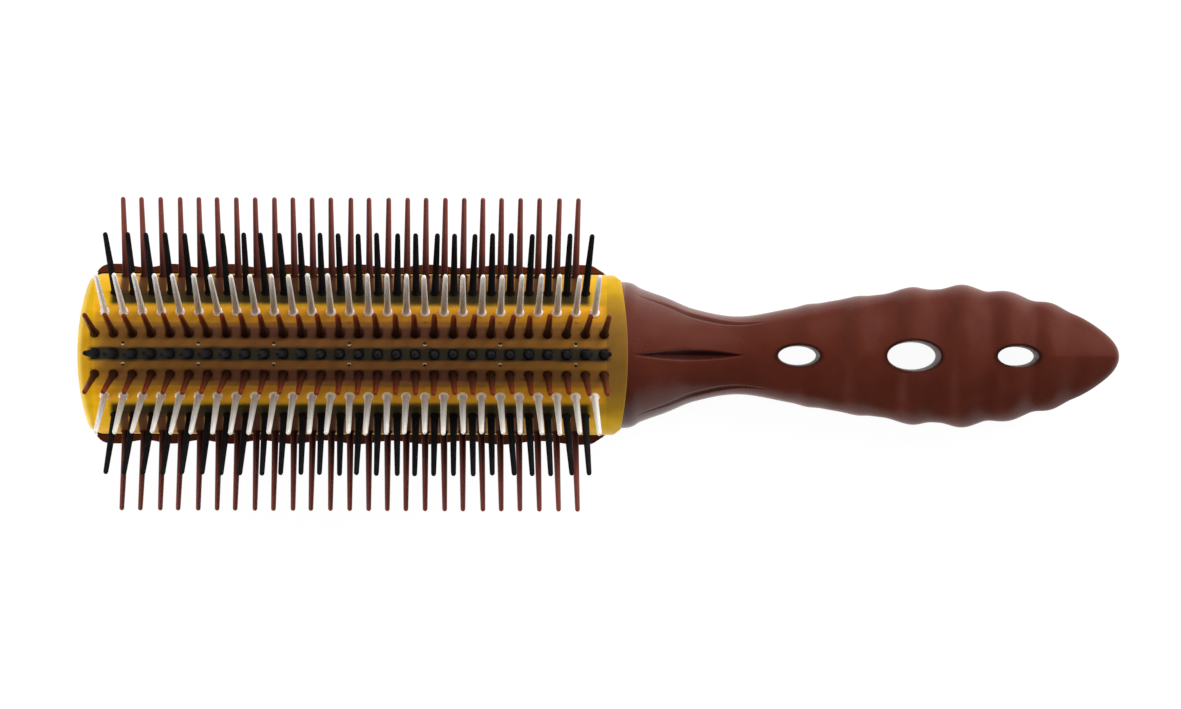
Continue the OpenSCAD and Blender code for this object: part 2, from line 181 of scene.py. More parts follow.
def calc(operation, *values):
    """Adds one Math node."""
    return add(tree_of(*values), "Math", dict(enumerate(values)), operation=operation)


def larger(a, b):
    return calc("MAXIMUM", a, b)


def vector(x=0.0, y=0.0, z=0.0):
    """A vector from three values or numbers."""
    return add(tree_of(x, y, z), "CombineXYZ", {"X": x, "Y": y, "Z": z})


def split(place):
    return list(add_all(place.tree, "SeparateXYZ", {0: place}).values())


def ramp(value, low, high, to_low=0.0, to_high=1.0):
    """Stretches the part of a value from low to high, with soft ends."""
    return add(value.tree, "MapRange", {
        "Value": value, "From Min": low, "From Max": high, "To Min": to_low, "To Max": to_high},
        interpolation_type="SMOOTHSTEP")


def edge(value, at, blur):
    """0 below a place and 1 above it, with a soft edge."""
    return ramp(value, at - blur, at + blur)


# %% Node groups with named sockets
VECTOR, FLOAT, WHOLE = "NodeSocketVector", "NodeSocketFloat", "NodeSocketInt"
SHAPE, MATERIAL = "NodeSocketGeometry", "NodeSocketMaterial"


def new_group(name, kind, inputs, outputs):
    """Makes a node group whose sockets are given by a kind or by a plain value, and gives back
    its tree, its inputs' values and its output sockets."""
    tree = bpy.data.node_groups.new(name, kind + "NodeTree")
    for in_out, sockets in (("INPUT", inputs), ("OUTPUT", outputs)):
        for label, value in sockets.items():
            plain = {int: WHOLE, float: FLOAT}.get(type(value))
            socket = tree.interface.new_socket(label, in_out=in_out, socket_type=plain or value)
            if plain:
                socket.default_value = value
    want = {s.name.lower().replace(" ", "_"): Value(s)
            for s in tree.nodes.new("NodeGroupInput").outputs if s.name}
    return tree, SimpleNamespace(**want), tree.nodes.new("NodeGroupOutput").inputs


print("node helpers ready")

# %% [markdown]
# ## Light and floor
# The photograph was lit softly from its upper right: the handle's upper half and the right flanks
# of its rings are lighter. In its lower half the left flanks are the lighter ones, so a smaller
# lamp shines from the lower left. A thin light rim runs along the outline, and no surface that
# faces the camera mirrors white, so the world is white low down and dark overhead. The floor
# glows white for rays that show it, as the picture's background is white, and keeps a shadow.

# %% Build the world and the lamps
world = bpy.data.worlds.new("studio")
scene.world = world
world.use_nodes = True
sky = world.node_tree
sky.nodes.clear()
_, side, up = split(add(sky, "TexCoord", output="Generated"))
daylight = ramp(up, 0.45, 0.85, 1.0, 0.2) * ramp(side, -0.7, 0.7, 0.1, 1.05)
mirrored = larger(ramp(up, 0.0, 0.12, 1.0, 0.03), ramp(side, 0.3, 0.9, 0.03, 0.2))
rays = add_all(sky, "LightPath")
glossy = rays["Is Glossy Ray"]
strength = glossy * mirrored + (1 - glossy) * larger(daylight, rays["Is Camera Ray"])
glow = add(sky, "Background", {"Color": (1, 1, 1, 1), "Strength": strength})
new_node(sky, "OutputWorld", {"Surface": glow})


def lamp(name, place, size, power):
    """A square lamp that looks at the middle of the brush and shows in no reflection."""
    thing = put(name, bpy.data.lights.new(name, "AREA"))
    thing.data.size, thing.data.energy = size, power
    thing.location = place
    thing.rotation_euler = thing.location.to_track_quat("Z", "Y").to_euler()
    thing.visible_glossy = False


lamp("key_lamp", (1.2, 1.2, 0.9), 1.6, 40)
lamp("fill_lamp", (-1.5, -1.0, 0.45), 1.0, 25)

# %% Lay the floor
bpy.ops.mesh.primitive_plane_add(size=12, location=(0, 0, -0.3 * MM))
floor = bpy.context.object
floor.name = "floor"
paper = bpy.data.materials.new("white_paper")
paper.use_nodes = True
tree = paper.node_tree
tree.nodes.clear()
rays = add_all(tree, "LightPath")
shows_it = larger(larger(rays["Is Camera Ray"], rays["Is Glossy Ray"]),
                  rays["Is Transmission Ray"])
matt = add(tree, "BsdfDiffuse", {"Color": (0.8, 0.8, 0.8, 1)})
shaded = add(tree, "BsdfDiffuse", {"Color": (0.13, 0.13, 0.13, 1)})
white = add(tree, "Emission", {"Color": (1, 1, 1, 1), "Strength": 0.95})
shown = add(tree, "AddShader", {0: shaded, 1: white})
mixed = add(tree, "MixShader", {0: shows_it, 1: matt, 2: shown})
new_node(tree, "OutputMaterial", {"Surface": mixed})
floor.data.materials.append(paper)
print("studio built")

# %% [markdown]
# ## Shared effects
# Moulded plastic is never one flat colour. It has a fine grain from the tool, broader clouds in
# its colour, and places that hands have rubbed smoother. One node group makes all three masks,
# and each material sets how large and how strong they are.

# %% The group for moulded plastic
def noise(place, size, detail):
    """A noise pattern whose lumps are about that size in metres, from 0 to 1."""
    return add(place.tree, "TexNoise", {
        "Vector": place, "Scale": 1 / size, "Detail": detail})


moulded, want, give = new_group(
    "moulded_plastic", "Shader",
    {"Place": VECTOR, "Grain Size": 0.4 * MM, "Cloud Size": 6 * MM, "Rub Size": 20 * MM},
    {"Grain": FLOAT, "Cloud": FLOAT, "Rub": FLOAT})
feed(give["Grain"], noise(want.place, want.grain_size, 2.0))
feed(give["Cloud"], ramp(noise(want.place, want.cloud_size, 3.0), 0.3, 0.7))
feed(give["Rub"], ramp(noise(want.place, want.rub_size, 2.0), 0.45, 0.7))


# %% Helpers for materials
def blend(factor, below, above):
    """Mixes two colours, given as values or as plain numbers."""
    mix = new_node(factor.tree, "Mix", {"Factor": factor}, data_type="RGBA")
    for label, colour in (("A", below), ("B", above)):
        feed(mix.inputs[label], (*colour, 1) if isinstance(colour, tuple) else colour)
    return Value(mix.outputs["Result"])


def scaled(colour, level):
    return add(level.tree, "VectorMath", {0: colour, 1: vector(level, level, level)},
               operation="MULTIPLY")


def distance(a, b):
    return calc("SQRT", a * a + b * b)


def polar(place):
    """A place's X and Y, its angle round the fan axis in degrees, and its distance from it."""
    x, y, z = split(place)
    rise = z - fan_z
    angle = calc("DEGREES", calc("ABSOLUTE", calc("ARCTAN2", y, rise)))
    return x, y, angle, distance(y, rise)


def new_plastic(name, rough, grain=0.4 * MM, cloud=6 * MM, bump=0.02, **plain):
    """Starts a moulded plastic, and gives back its shader's inputs, its place and its masks."""
    material = bpy.data.materials.new(name)
    material.use_nodes = True
    tree = material.node_tree
    shader = tree.nodes["Principled BSDF"].inputs
    place = add(tree, "TexCoord", output="Object")
    masks = add_all(tree, "Group", {
        "Place": place, "Grain Size": grain, "Cloud Size": cloud}, node_tree=moulded)
    feed(shader["Roughness"], masks["Grain"] * 0.12 + (rough - 0.06) + masks["Rub"] * -0.06)
    feed(shader["Normal"], add(tree, "Bump", {
        "Height": masks["Grain"], "Strength": bump, "Distance": 0.1 * MM}))
    for label, value in plain.items():
        shader[label.replace("_", " ")].default_value = value
    return material, shader, place, masks


def nylon(name, dark, light, rough, **detail):
    """A nylon whose colour drifts between two tones, and each place's angle round the fan axis
    and distance from it."""
    material, shader, place, masks = new_plastic(name, rough, **detail)
    colour = blend(masks["Cloud"], dark, light)
    feed(shader["Base Color"], colour)
    _, _, angle, away = polar(place)
    return material, shader, colour, angle, away


def by_radius(away, up_to, root, tip):
    """A colour that changes from a pin's root to a distance above the skin in millimetres."""
    return blend(ramp(away, skin_r, skin_r + up_to * MM), root, tip)


# %% The three nylons
black_nylon = nylon("black_nylon", (0.0092, 0.0085, 0.009), (0.0155, 0.0144, 0.0152), 0.36,
                    Specular_IOR_Level=0.0, Sheen_Weight=0.03)[0]

# The red-brown rows take up amber light from the cover, the first rows most of all, as a painted
# tint. Both are painted darker towards their roots, a painted shade.
red_nylon, shader, colour, angle, away = nylon(
    "red_brown_nylon", (0.213, 0.057, 0.043), (0.256, 0.071, 0.054), 0.4, Specular_IOR_Level=0.06)
outer = by_radius(away, 13, (0.048, 0.012, 0.008), colour)
first = by_radius(away, 23, (0.050, 0.016, 0.010), (0.185, 0.032, 0.009))
feed(shader["Base Color"], blend(ramp(angle, 25, 50), first, outer))

# Ivory lets some light through. The cover's light at its roots is painted: a paler base colour and
# a little emission there, a painted glow.
ivory_nylon, shader, colour, angle, away = nylon(
    "ivory_nylon", (0.87, 0.82, 0.74), (0.93, 0.89, 0.82), 0.3, Specular_IOR_Level=0.5,
    Subsurface_Weight=0.5, Subsurface_Scale=0.0012, Subsurface_Radius=(1.0, 0.9, 0.8),
    Sheen_Weight=0.3, Sheen_Roughness=0.4, Emission_Strength=0.12)
feed(shader["Base Color"], by_radius(away, 0.9, (1.0, 0.97, 0.90), colour))
feed(shader["Emission Color"], by_radius(away, 0.7, (1.0, 0.93, 0.80), (0.0, 0.0, 0.0)))
print("pin materials:", [m.name for m in (black_nylon, red_nylon, ivory_nylon)])

# %% [markdown]
# ## Brown body plastic
# The handle and the back are one satin brown. Its colour is painted paler where the skin turns
# away from the eye, a painted sheen, and darker in the creases and round the eye holes, a painted
# shade. The walls of those holes are rougher, so that they mirror the white below only softly. The
# holes' places are known, so Object coordinates give their mask. The handle's skin carries an
# attribute that says how deep it is pressed in.

# %% Brown plastic
# For each eye hole: its place from the cover's open end, its length and its width, all in mm.
EYES = [(37.1, 9.1, 4.5), (62.4, 11.7, 6.6), (85.3, 9.0, 4.5)]
WALL, RIM = 0.1, 1.3  # how far, in mm, a hole's wall and its dark rim reach past its outline
brown_plastic, shader, place, masks = new_plastic(
    "brown_satin", 0.3, bump=0.1, Specular_IOR_Level=0.22)
x, y, _ = split(place)
walls, rims = 0.0, 0.0
for along, length, width in EYES:
    away = distance(y / ((width / 2 + WALL) * MM),
                    (x - (neck_x + along * MM)) / ((length / 2 + WALL) * MM))
    walls = larger(away < 1.0, walls)
    rims = larger(ramp(away, 1.0, 1.0 + RIM / width, 1.0, 0.0), rims)
pressed_in = add(x.tree, "Attribute", output="Fac", attribute_name="pressed")
skin_colour = blend(masks["Cloud"], (0.098, 0.0200, 0.0110), (0.112, 0.0245, 0.0140))
# Painted shade: the colour is darker in the pressed creases and round each eye hole's rim.
dark = larger(rims * 0.85, ramp(pressed_in, 0.05, 0.42, 0.0, 0.75))
skin_colour = blend(dark, skin_colour, (0.020, 0.006, 0.005))
# Painted sheen: the colour is paler where the skin turns away from the eye, but not on the collar
# or in the creases.
grazing = add(x.tree, "LayerWeight", {"Blend": 0.5}, output="Facing")
off_collar = larger(x < neck_x - 1 * MM, ramp(x, neck_x + 4 * MM, neck_x + 18 * MM, 0.35, 1.0))
painted_sheen = off_collar * ramp(pressed_in, 0.0, 0.06, 1.0, 0.0) * ramp(grazing, 0.2, 0.85, 0.0, 0.5)
feed(shader["Base Color"], blend(painted_sheen, skin_colour, (0.34, 0.21, 0.19)))
feed(shader["Roughness"], walls * 0.2 + Value(shader["Roughness"].links[0].from_socket))
print("brown plastic:", len(x.tree.nodes), "nodes")

# %% [markdown]
# ## The amber cover's colour
# The cover is clear amber plastic with a slightly cloudy skin. What lies close below it shows as
# soft bands: dark over the black rails, brown over the red-brown ones, bright gold over the ivory
# ones, and the brown carrier between them. Real see-through plastic renders grey and noisy over
# so many small parts, so the bands are painted, by angle round the fan axis and by place along
# the brush. Light that enters such plastic leaves it everywhere, so the paint also glows a little.

# %% A mask for one rail seen through the cover
rail_view, want, give = new_group(
    "rail_under_cover", "Shader",
    dict.fromkeys(("Angle", "Middle", "Half Width", "Blur", "Along", "Start", "End", "End Blur"),
                  FLOAT), {"Mask": FLOAT})
beside = edge(calc("ABSOLUTE", want.angle - want.middle), want.half_width, want.blur)
started = edge(want.along, want.start, want.end_blur)
ended = edge(want.along, want.end, want.end_blur)
feed(give["Mask"], started * (1 - ended) * (1 - beside))

# %% Start the cover's plastic, and find a place on it
amber, shader, place, masks = new_plastic(
    "amber_plastic", 0.35, grain=0.8 * MM, cloud=4 * MM, bump=0.03, Specular_IOR_Level=0.04,
    Emission_Strength=0.36)
along, across, plain_angle, radius = polar(place)
stretched = add(place.tree, "Mapping", {"Vector": place, "Scale": (0.25, 1, 1)})
angle = plain_angle + (noise(stretched, 1.2 * MM, 3.0) * 3.0 - 1.5)
from_middle = calc("ABSOLUTE", along - pin_x(13.5))


def seen(middle, half_width, start, end, blur=1.5, end_blur=0.8 * MM):
    """The mask of what lies below the cover between two places and round one angle."""
    return add(place.tree, "Group", {
        "Angle": angle, "Middle": middle, "Half Width": half_width, "Blur": blur, "Along": along,
        "Start": start, "End": end, "End Blur": end_blur}, node_tree=rail_view)


def beat(setback):
    """A wave along the brush: 1 at each pin of a row and -1 midway between two."""
    return calc("COSINE", (along - pin_x(setback)) / pitch * (2 * pi))


# %% Lay the ground colours
tip_end = blend(ramp(plain_angle, 5, 50), (0.60, 0.30, 0.012), (0.59, 0.345, 0.007))
neck_end = blend(ramp(plain_angle, 15, 80), (0.19, 0.095, 0.018), (0.54, 0.32, 0.006))
paint = blend(edge(along, (tip_x + neck_x) / 2, 9 * MM), tip_end, neck_end)
flank = blend(ramp(plain_angle, 50, 70), (0.06, 0.029, 0.008), (0.16, 0.067, 0.017))
# Painted light: the flank is painted brighter towards both ends of the cover.
flank = blend(ramp(from_middle, 24 * MM, 53 * MM, 0.0, 0.9), flank, (0.45, 0.205, 0.022))
# The layers of paint above it, from the lowest up, each as a mask and a colour.
layers = [(seen(0, 24, pin_x(0) - 0.4 * MM, pin_x(27) + 0.4 * MM, 2, 1.2 * MM),
           (0.20, 0.083, 0.023)),
          (seen(66, 18, pin_x(1) - 0.6 * MM, pin_x(26) + 0.9 * MM, 1, 1 * MM), flank)]

# %% Lay the bands of the rails over them
# For each level: the band's middle, half width and blur in degrees, its overhang in mm, and its
# colour.
# Bands 0 and 1 are painted darker at each pin: a painted shadow of the pins on the cover.
BANDS = [(0, 4.8, 1.4, 1.2, blend(
             ramp(beat(0), -0.8, 0.4), (0.038, 0.030, 0.019), (0.018, 0.018, 0.014))),
         (15.2, 4.4, 1.8, 0.7, blend(
             ramp(beat(0), -0.8, 0.5), (0.095, 0.035, 0.020), (0.036, 0.014, 0.009))),
         (30.5, 6.6, 1.2, 2.1, blend(
             ramp(plain_angle, 22, 33), (0.35, 0.140, 0.014), (0.47, 0.215, 0.015))),
         (43.9, 6.2, 2.8, 0.9, (0.039, 0.027, 0.008))]


def band(level):
    """One level's layer."""
    (middle, half_width, blur, over, colour), (_, count, setback) = BANDS[level], LEVELS[level]
    start, end = pin_x(setback) - over * MM, pin_x(setback + count - 1) + over * MM
    return seen(middle, half_width, start, end, blur), colour


# Painted light: the cover is painted brighter at both its ends, where more light comes in below it.
lit = (ramp(from_middle, 18 * MM, 56 * MM, 0.0, 0.18)
       + ramp(along, tip_x + 1 * MM, tip_x + 9 * MM, 0.5, 0.0))
lit = lit * ramp(plain_angle, 20, 28, 0.6, 1.0) * (from_middle < 56 * MM)
layers += [band(1), band(2), (lit, (0.80, 0.40, 0.010)), band(3), band(0)]

# %% Paint shade at the roots of the outer rows, and light on the cover's rims
# Painted shade: the cover is darker round the roots of the outer red-brown pins and beside the
# black pins of level 3.
pin_root_shade = ramp(beat(LEVELS[4][2]), -0.35, 0.35) * seen(63, 15, pin_x(1.2), pin_x(25.8), 3)
black_root_shade = ramp(beat(LEVELS[3][2]), -0.2, 0.9) * seen(46, 6, pin_x(0.8), pin_x(26.2), 4)
# Painted light: a pale rim at the closed end, where light passes through the thick end wall, and a
# painted highlight along the long edges.
from_tip = along + calc("SQRT", tip_bow ** 2 - across * across) - (tip_x + tip_bow)
PAINTED_RIM_LIGHT = (0.74, 0.50, 0.10)
layers += [(pin_root_shade * 0.92, (0.035, 0.010, 0.006)), (black_root_shade * 0.6, (0.018, 0.012, 0.005)),
           (1 - edge(from_tip, 0.9 * MM, 0.5 * MM), PAINTED_RIM_LIGHT),
           (ramp(plain_angle, 76, 86, 0.0, 0.85), PAINTED_RIM_LIGHT)]
for mask, colour in layers:
    paint = blend(mask, paint, colour)
paint = scaled(paint, masks["Cloud"] * 0.16 + 0.92)

# %% Paint the sunk air holes' walls: a painted glint towards the brush's middle, painted shade away from it
AIR_START, AIR_STEP = pin_x(1.5), 4 * pitch
around = calc("WRAP", along - AIR_START, AIR_STEP / 2, -AIR_STEP / 2)
off = (plain_angle - LEVELS[1][0] / 2) * (radians(1) * skin_r)
in_hole = (radius < skin_r - 0.03 * MM) * (distance(around, off) < 0.7 * MM)
glint = blend(ramp(off, -0.15 * MM, 0.05 * MM), (0.8, 0.62, 0.40), (0.02, 0.010, 0.005))
paint = blend(in_hole, paint, glint)

# %% The closed end is painted darker and glows more
at_tip = ramp(along, tip_x + 1 * MM, tip_x + 10 * MM, 1.0, 0.0)
feed(shader["Base Color"], scaled(paint, at_tip * -0.38 + 1))
feed(shader["Emission Color"], scaled(paint, at_tip * 0.8 + 1))
print("amber plastic:", len(place.tree.nodes), "nodes")

# %% [markdown]
# ## Rows of pins
# Each row is one strip of nylon: a flat rail under the cover, with 25 to 28 pins that pass
# through it. Pins are a classic case for Geometry Nodes: one is built, then copied along a line
# of points, and each copy gets its own small lean, because no real pin is straight.

# %% Helpers for shapes in node trees
def adder(tree):
    """A short way to add Geometry Nodes to one tree."""
    return lambda kind, *inputs, **settings: add(tree, "GeometryNode" + kind, *inputs, **settings)


def moved(shape, place, turn=(0.0, 0.0, 0.0)):
    return add(shape.tree, "GeometryNodeTransform", {
        "Geometry": shape, "Translation": place, "Rotation": turn})


def fanned(shape, angle, want):
    """Turns a row to its angle round the fan axis."""
    return moved(shape, vector(z=want.axis_height), vector(x=-angle))


def join(shapes):
    joined = new_node(shapes[0].tree, "GeometryNodeJoinGeometry")
    for shape in shapes:
        feed(joined.inputs[0], shape)
    return Value(joined.outputs[0])


def cut_out(solid, cutters):
    cut = new_node(solid.tree, "GeometryNodeMeshBoolean", {"Mesh 1": solid},
                   operation="DIFFERENCE", solver="MANIFOLD")
    for cutter in cutters:
        feed(cut.inputs["Mesh 2"], cutter)
    return Value(cut.outputs[0])


def made_real(shape, material):
    """Turns copies into real geometry, and gives it its material."""
    real = add(shape.tree, "GeometryNodeRealizeInstances", {"Geometry": shape})
    return add(shape.tree, "GeometryNodeSetMaterial", {"Geometry": real, "Material": material})


# %% One pin
ROW = {"Pitch": pitch, "Skin": skin_r, "Axis Height": fan_z, "Foot": cover_r - 1.75 * MM,
       "Collar Height": 0.5 * MM, "Rail Width": 2.8 * MM, "Rail Height": 1.5 * MM,
       "Rail Over": 1.8 * MM}
row_tree, want, give = new_group("pin_row", "Geometry", {
    **ROW, "Pins": WHOLE, "Seed": WHOLE, "Material": MATERIAL, **dict.fromkeys((
        "First Pin", "Fan Angle", "Rail Angle", "Inward", "Lean", "Unevenness", "Length",
        "Collar Width", "Root Width", "Tip Width"), FLOAT)}, {"Row": SHAPE})
row_node = adder(row_tree)
SIDES, MERGE, PLUG_OVERLAP = 8, 0.02 * MM, 0.4 * MM

tip_r, root_r, collar_r = want.tip_width * 0.5, want.root_width * 0.5, want.collar_width * 0.5
half_collar = want.collar_height * 0.5
plug_depth = want.skin - want.foot + PLUG_OVERLAP
plug = row_node("MeshCylinder", {
    "Vertices": SIDES, "Radius": collar_r, "Depth": plug_depth + half_collar}, fill_type="NONE")
collar = row_node("MeshCone", {
    "Vertices": SIDES, "Radius Bottom": collar_r, "Radius Top": root_r, "Depth": half_collar},
    fill_type="NONE")
shaft_to = want.length - tip_r
shaft = row_node("MeshCone", {
    "Vertices": SIDES, "Side Segments": 2, "Radius Bottom": root_r, "Radius Top": tip_r,
    "Depth": shaft_to - want.collar_height}, fill_type="NONE")
ball = row_node("MeshUVSphere", {"Segments": SIDES, "Rings": 6, "Radius": tip_r})
height = split(row_node("InputPosition"))[2]
cap = row_node("DeleteGeometry", {
    "Geometry": ball, "Selection": height < -0.01 * MM}, domain="FACE")
pin = row_node("MergeByDistance", {"Distance": MERGE, "Geometry": join([
    moved(plug, vector(z=(half_collar - plug_depth) * 0.5)), moved(collar, vector(z=half_collar)),
    moved(shaft, vector(z=want.collar_height)), moved(cap, vector(z=shaft_to))])})

# %% Copy it along a row, and add the rail
number = row_node("InputIndex")


def stray(offset, share):
    """A random angle for each pin."""
    reach = want.unevenness * share
    return add(row_tree, "FunctionNodeRandomValue", {
        "Min": -reach, "Max": reach, "ID": number, "Seed": want.seed + offset},
        output="Value", data_type="FLOAT")


line = row_node("MeshLine", {
    "Count": want.pins, "Start Location": vector(x=want.first_pin, z=want.skin),
    "Offset": vector(x=want.pitch)})
middle = (want.pins - 1) * 0.5
lean = (number - middle) / middle * want.lean + stray(0, 1.0)
pins = row_node("InstanceOnPoints", {
    "Points": line, "Instance": pin, "Rotation": vector(want.inward + stray(50, 0.5), lean)})
row_len = (want.pins - 1) * want.pitch
rail = moved(
    row_node("MeshCube", {"Size": vector(
        row_len + want.rail_over * 2, want.rail_width, want.rail_height)}),
    vector(x=want.first_pin + row_len * 0.5, z=want.foot - want.rail_height * 0.5))
feed(give["Row"], made_real(join([fanned(pins, want.fan_angle, want),
                                  fanned(rail, want.rail_angle, want)]), want.material))
print("pin row tree:", len(row_tree.nodes), "nodes")

# %% [markdown]
# ## From a node tree to a plain piece
# A modifier's inputs are set by each socket's identifier. The result is then copied into a plain
# mesh, so that the piece keeps its shape with no modifier on it. Boolean cuts are settled so too.

# %% Helpers that settle a shape
def settle(thing, name):
    """Copies what an object evaluates to into a plain piece, and removes the object."""
    graph = bpy.context.evaluated_depsgraph_get()
    mesh = bpy.data.meshes.new_from_object(thing.evaluated_get(graph), depsgraph=graph)
    bpy.data.objects.remove(thing)
    mesh.name = name
    return put(name, mesh)


def grow(name, tree, values, base=None):
    """Runs a Geometry Nodes tree on a base mesh, and gives back its result as a plain piece."""
    thing = put(name + "_maker", base or bpy.data.meshes.new(name + "_base"))
    maker = thing.modifiers.new("maker", "NODES")
    maker.node_group = tree
    for socket in tree.interface.items_tree:
        if socket.in_out == "INPUT" and socket.name in values:
            maker[socket.identifier] = values[socket.name]
    return settle(thing, name)


def combine(piece, other, operation):
    """Cuts another piece out of a piece or joins it on, and removes the other piece."""
    name = piece.name
    joint = piece.modifiers.new("joint", "BOOLEAN")
    joint.object, joint.operation, joint.solver = other, operation, "MANIFOLD"
    piece.name = name + "_maker"
    piece = settle(piece, name)
    bpy.data.objects.remove(other)
    return piece


def finish(piece, degrees, body, slot_name, *nodes):
    """Shades a piece smoothly up to an angle, hangs it on its body, and hides the solids it
    replaces.
    """
    piece.data.shade_smooth()
    piece.data.set_sharp_from_angle(angle=radians(degrees))
    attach(piece, body)
    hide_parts(*nodes)
    print(piece.name, len(piece.data.polygons), "faces")


# %% Grow the nine rows
# For each level: the nylon, its slot, the rail's angle, how far the pins turn inwards, how long
# they stand, and the widths of collar, root and tip. Angles are in degrees, lengths in mm.
PINS = [(black_nylon, "black_pins", 0, 0, 17.8, 2.2, 1.95, 1.1),
        (red_nylon, "red_brown_pins", 14.5, 1.9, 17.6, 2.0, 1.65, 1.1),
        (ivory_nylon, "ivory_pins", 29, 5.0, 17.6, 2.2, 1.55, 1.05),
        (black_nylon, "black_pins", 47, 4.4, 18.0, 2.05, 1.65, 1.1),
        (red_nylon, "red_brown_pins", 76, -2.5, 17.8, 1.9, 1.55, 1.05)]
for end, level, sign in ROWS:
    row_angle, count, setback = LEVELS[level]
    material, slot_name, rail_angle, inward, *lengths = PINS[level]
    lean, unevenness = (1.8, 0.5) if level == 4 else (3.6, 1.3)
    angles = {"Fan Angle": sign * row_angle, "Rail Angle": sign * rail_angle,
              "Inward": sign * inward, "Lean": lean, "Unevenness": unevenness}
    widths = dict(zip(("Length", "Collar Width", "Root Width", "Tip Width"), lengths))
    piece = grow("pins_" + end, row_tree, {
        **ROW, "Pins": count, "First Pin": pin_x(setback), "Material": material,
        "Seed": 10 * level + (sign < 0), **{k: radians(v) for k, v in angles.items()},
        **{k: v * MM for k, v in widths.items()}})
    finish(piece, 40, "pad", slot_name, "pin_row_" + end)

# %% [markdown]
# ## Lofted shapes
# The cover and the handle both follow rings of points. A loft joins the rings with quads and
# closes its two ends. The same helper makes the plain cutters for the cover's hollow.

# %% Helpers for lofts
def loft(name, rings, material=None):
    """A closed skin over an array of rings, in metres, each as (points, 3). It is turned so that
    its faces point outwards whichever way its rings run."""
    count, around = rings.shape[:2]
    number = np.arange(count * around).reshape(count, around)
    a, b = number[:-1], number[1:]
    walls = np.stack([a, np.roll(a, -1, 1), np.roll(b, -1, 1), b], axis=2).reshape(-1, 4)
    faces = walls.tolist() + [number[0][::-1].tolist(), number[-1].tolist()]
    points = rings.reshape(-1, 3)
    corner = points[walls[:, :3]] - points.mean(0)
    if np.sum(corner[:, 0] * np.cross(corner[:, 1], corner[:, 2])) < 0:
        faces = [face[::-1] for face in faces]
    mesh = bpy.data.meshes.new(name)
    mesh.from_pydata(points.tolist(), [], faces)
    mesh.update()
    if material:
        mesh.materials.append(material)
    return put(name, mesh)


def at_x(x, outline):
    """An outline of (y, z) points, at one place along the brush or at one for each point."""
    return np.column_stack([np.broadcast_to(x, len(outline)), outline])


def bar(name, outline, places, material=None):
    """One outline, drawn out through places along the brush."""
    return loft(name, np.array([at_x(x, outline) for x in places]), material)


def block(x_from, x_to, half_y, z_to):
    """A plain box that stands on the ground, used only to cut with."""
    return bar("cutter", np.array([(-half_y, 0), (half_y, 0), (half_y, z_to), (-half_y, z_to)]),
               (x_from, x_to))


def ease(t):
    t = np.clip(t, 0, 1)
    return t * t * (3 - 2 * t)


# %% [markdown]
# ## The amber cover
# The cover is a half-round trough with straight skirts, one closed end and softly rounded edges.
# Both ends bow outwards, and the corners are cut off a little. It is lofted as a solid bar with
# rounded ends, and its hollow is cut out of that, so that the wall is the same everywhere.

# %% Outlines of the cover
end_wall, corner = 1.5 * MM, 1.3 * MM
tip_round, neck_round = 1.1 * MM, 0.3 * MM
right_x = neck_x - 0.45 * MM
play, bead_h = 0.3 * MM, 1.1 * MM
inner_r = core_r + play
skirt_z = fan_z - 3 * MM
seat_z = skirt_z + bead_h + play


def arch(radius, low_z):
    """A half-round over straight legs, as a closed outline of (y, z) points."""
    turn = np.linspace(pi / 2, -pi / 2, 91)
    arc = np.column_stack([radius * np.sin(turn), fan_z + radius * np.cos(turn)])
    foot = np.linspace(-1, 1, 25)[1:-1]
    leg = np.array([[-radius, fan_z - (fan_z - low_z) * s] for s in (0.4, 0.8, 1.0)])
    base = np.column_stack([radius * foot, np.full(len(foot), low_z)])
    return np.vstack([arc, leg, base, leg[::-1] * (-1, 1)])


def end_setback(y, bow_r):
    """How far the cover's end lies behind its middle, from the bow and the cut corner."""
    bow = bow_r - np.sqrt(bow_r ** 2 - y ** 2)
    sag = bow_r - sqrt(bow_r ** 2 - skin_r ** 2)
    cut = (sag + corner) * (np.abs(y) - (skin_r - 2 * corner)) / (2 * corner)
    return np.maximum(bow, cut)


def end_rings(x_end, bow_r, inward, soft, layers):
    """Rings from the middle of an end face out to its rounded edge."""
    centre = np.array([0, fan_z + 2 * MM])
    face = arch(skin_r - soft, skirt_z) - centre
    rings = [(centre + face * share, 0.0) for share in (0.05, 0.25, 0.45, 0.65, 0.85)]
    for turn in np.linspace(0, pi / 2, layers):
        rings.append((arch(skin_r - soft * (1 - sin(turn)), skirt_z),
                      soft * (1 - cos(turn))))
    return np.array([at_x(x_end + inward * (end_setback(ring[:, 0], bow_r) + depth), ring)
                     for ring, depth in rings])


# %% Loft the cover, and hollow it out
tip_rings = end_rings(tip_x, tip_bow, 1, tip_round, 7)
neck_rings = end_rings(right_x, neck_bow, -1, neck_round, 4)[::-1]
share = np.linspace(0, 1, 120)[1:-1, None, None]
between = tip_rings[-1] + (neck_rings[0] - tip_rings[-1]) * share
cover = loft("cover", np.concatenate([tip_rings, between, neck_rings]), amber)

inner = arch(inner_r, skirt_z + bead_h)
past_neck, before_tip = neck_x + 1 * MM, tip_x - 1 * MM
start = at_x(tip_x + end_wall + end_setback(inner[:, 0], tip_bow), inner)
end = at_x(past_neck, inner)
cutters = [loft("cutter", start + (end - start) * np.linspace(0, 1, 40)[:, None, None])]
cutters += [block(before_tip, past_neck, inner_r - 0.8 * MM, seat_z + play),
            block(joint_x - play, past_neck, inner_r, seat_z),
            block(before_tip, tip_x + 6 * MM, cover_r + 1 * MM, seat_z + play)]
for cutter in cutters:
    cover = combine(cover, cutter, "DIFFERENCE")
print("cover before its holes:", len(cover.data.polygons), "faces")
